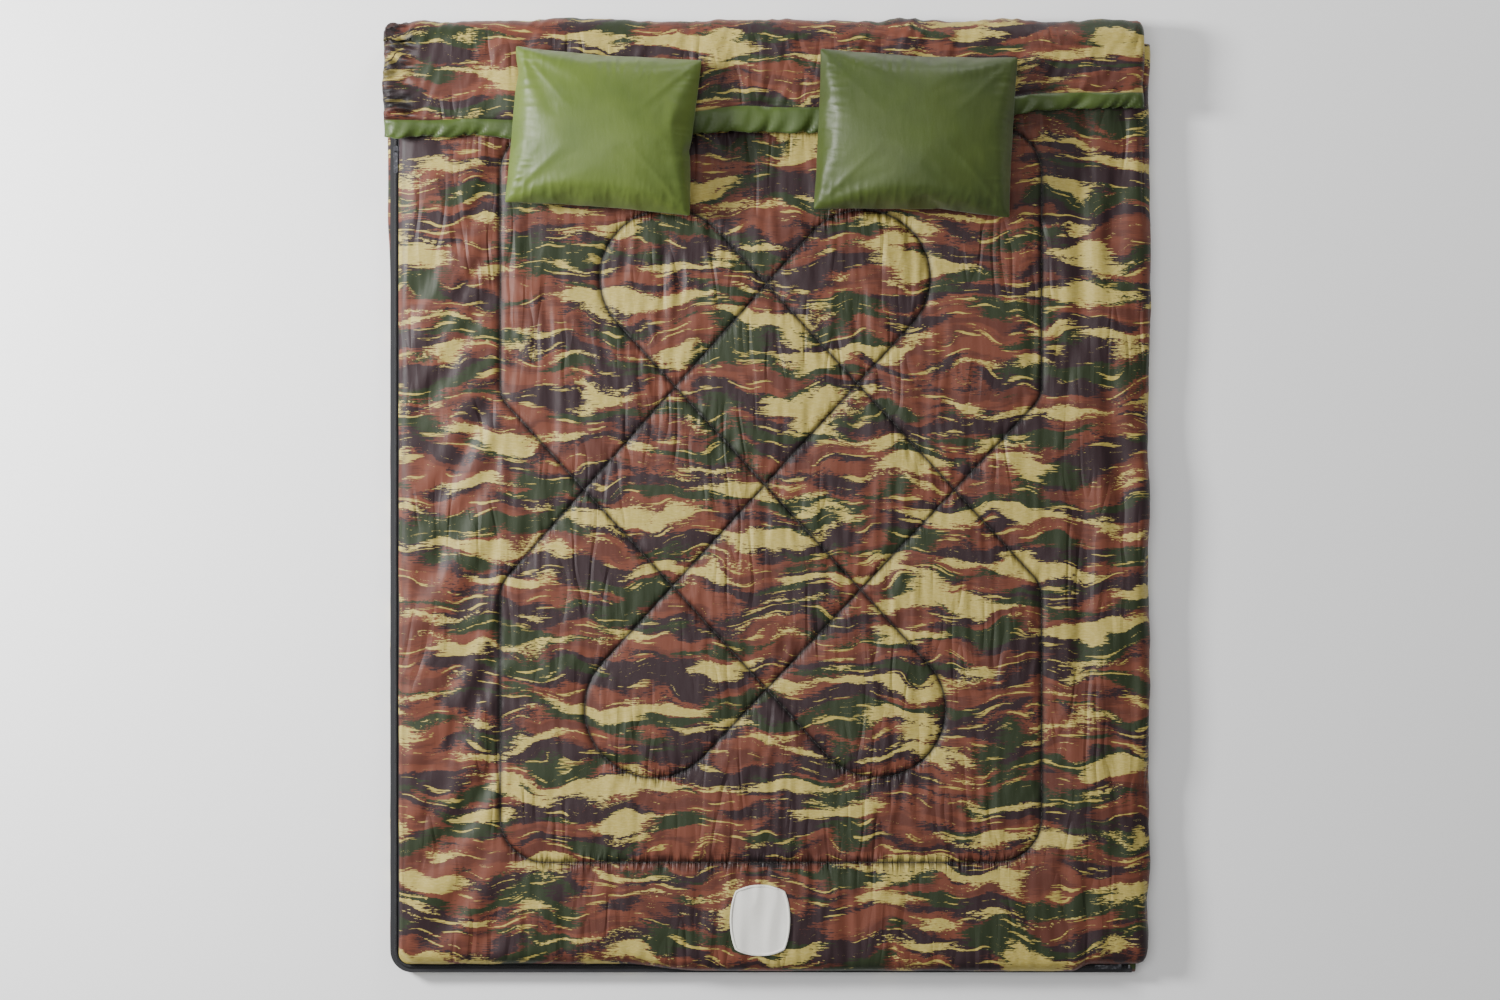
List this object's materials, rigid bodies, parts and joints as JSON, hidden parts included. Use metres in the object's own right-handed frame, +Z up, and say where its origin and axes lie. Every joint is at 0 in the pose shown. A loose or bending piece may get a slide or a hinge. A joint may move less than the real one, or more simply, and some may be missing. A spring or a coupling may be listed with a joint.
{
  "type": "rectangular sleeping bag",
  "caption": "Wide rectangular sleeping bag in quilted camouflage fabric, green lining, zip round one side and the foot, hood end turned over, pillows laid on top.",
  "frame": {"origin": "middle of the laid-out bag's outline, on the ground under it", "axes": "+Z up, +Y along the bag towards the head and hood, +X towards the closed side, -X towards the zipped side"},
  "size_m": [1.5199, 1.8999, 0.1785],
  "materials": {
    "camo_taffeta": "satin polyester taffeta, four-colour brush camouflage of khaki, red-brown, plum-brown and dark green",
    "fibre_filling": "white hollow-fibre batting",
    "green_lining": "olive green satin lining",
    "zip_tape": "black woven tape",
    "zip_coil": "black nylon coil",
    "zip_stop": "black moulded stop",
    "slider_metal": "black enamel on cast zinc",
    "pull_metal": "black enamel pull tab",
    "patch_fabric": "plain off-white woven patch with a stitched edge",
    "pillow_left_satin": "olive green satin, lit side",
    "pillow_right_satin": "olive green satin"
  },
  "bodies": {
    "bag": {"base_shell": "camo_taffeta", "base_batting": "fibre_filling", "base_lining": "green_lining", "base_side_hem": "camo_taffeta", "base_foot_hem": "camo_taffeta", "base_side_zip_tape": "zip_tape", "base_side_zip_coil": "zip_coil", "base_foot_zip_tape": "zip_tape", "base_foot_zip_coil": "zip_coil", "cover_shell": "camo_taffeta", "cover_batting": "fibre_filling", "cover_lining": "green_lining", "cover_head_hem": "camo_taffeta", "cover_side_zip_tape": "zip_tape", "cover_side_zip_coil": "zip_coil", "cover_foot_zip_tape": "zip_tape", "cover_foot_zip_coil": "zip_coil", "side_fold_shell": "camo_taffeta", "side_fold_batting": "fibre_filling", "side_fold_lining": "green_lining", "hood_bend_shell": "camo_taffeta", "hood_bend_batting": "fibre_filling", "hood_bend_lining": "green_lining", "zip_head_stops": "zip_stop", "zip_foot_stop": "zip_stop"},
    "cover_corner": {"corner_shell": "camo_taffeta", "corner_batting": "fibre_filling", "corner_lining": "green_lining", "corner_side_zip_tape": "zip_tape", "corner_side_zip_coil": "zip_coil", "corner_foot_zip_tape": "zip_tape", "corner_foot_zip_coil": "zip_coil", "foot_patch": "patch_fabric"},
    "hood": {"hood_flap_shell": "camo_taffeta", "hood_flap_batting": "fibre_filling", "hood_flap_lining": "green_lining", "hood_edge_roll": "green_lining"},
    "side_slider": {"side_slider": "slider_metal"},
    "side_pull": {"side_pull_tab": "pull_metal"},
    "foot_slider": {"foot_slider": "slider_metal"},
    "foot_pull": {"foot_pull_tab": "pull_metal"},
    "pillow_left": {"pillow_left_cover": "pillow_left_satin", "pillow_left_filling": "fibre_filling", "pillow_left_seam": "pillow_left_satin"},
    "pillow_right": {"pillow_right_cover": "pillow_right_satin", "pillow_right_filling": "fibre_filling", "pillow_right_seam": "pillow_right_satin"}
  },
  "joints": [
    {"name": "corner_turn_back", "type": "hinge", "parent": "bag", "child": "cover_corner", "pos_m": [-0.735, 0, 0.0635], "axis": [-0.8297, 0.5582, 0], "range_deg": [0, 180]},
    {"name": "hood_unfold", "type": "hinge", "parent": "bag", "child": "hood", "pos_m": [0, 0.95584, 0.04325], "axis": [-1, 0, 0], "range_deg": [0, 180], "deforming": ["hood_bend_shell", "hood_bend_batting", "hood_bend_lining", "hood_flap_shell", "hood_flap_batting", "hood_flap_lining", "hood_edge_roll"]},
    {"name": "side_slide", "type": "slide", "parent": "bag", "child": "side_slider", "axis": [0, -1, 0], "range_m": [-0.167, 1.58]},
    {"name": "side_pull_flip", "type": "hinge", "parent": "side_slider", "child": "side_pull", "pos_m": [-0.747, 0.69, 0.0363], "axis": [-1, 0, 0], "range_deg": [0, 150]},
    {"name": "foot_slide", "type": "slide", "parent": "bag", "child": "foot_slider", "axis": [-1, 0, 0], "range_m": [-0.012, 1.38]},
    {"name": "foot_pull_flip", "type": "hinge", "parent": "foot_slider", "child": "foot_pull", "pos_m": [0.69, -0.937, 0.0363], "axis": [0, 1, 0], "range_deg": [0, 150]},
    {"name": "pillow_left_lift", "type": "slide", "parent": "bag", "child": "pillow_left", "axis": [0, 0, 1], "range_m": [0, 0.25]},
    {"name": "pillow_right_lift", "type": "slide", "parent": "bag", "child": "pillow_right", "axis": [0, 0, 1], "range_m": [0, 0.25]}
  ]
}
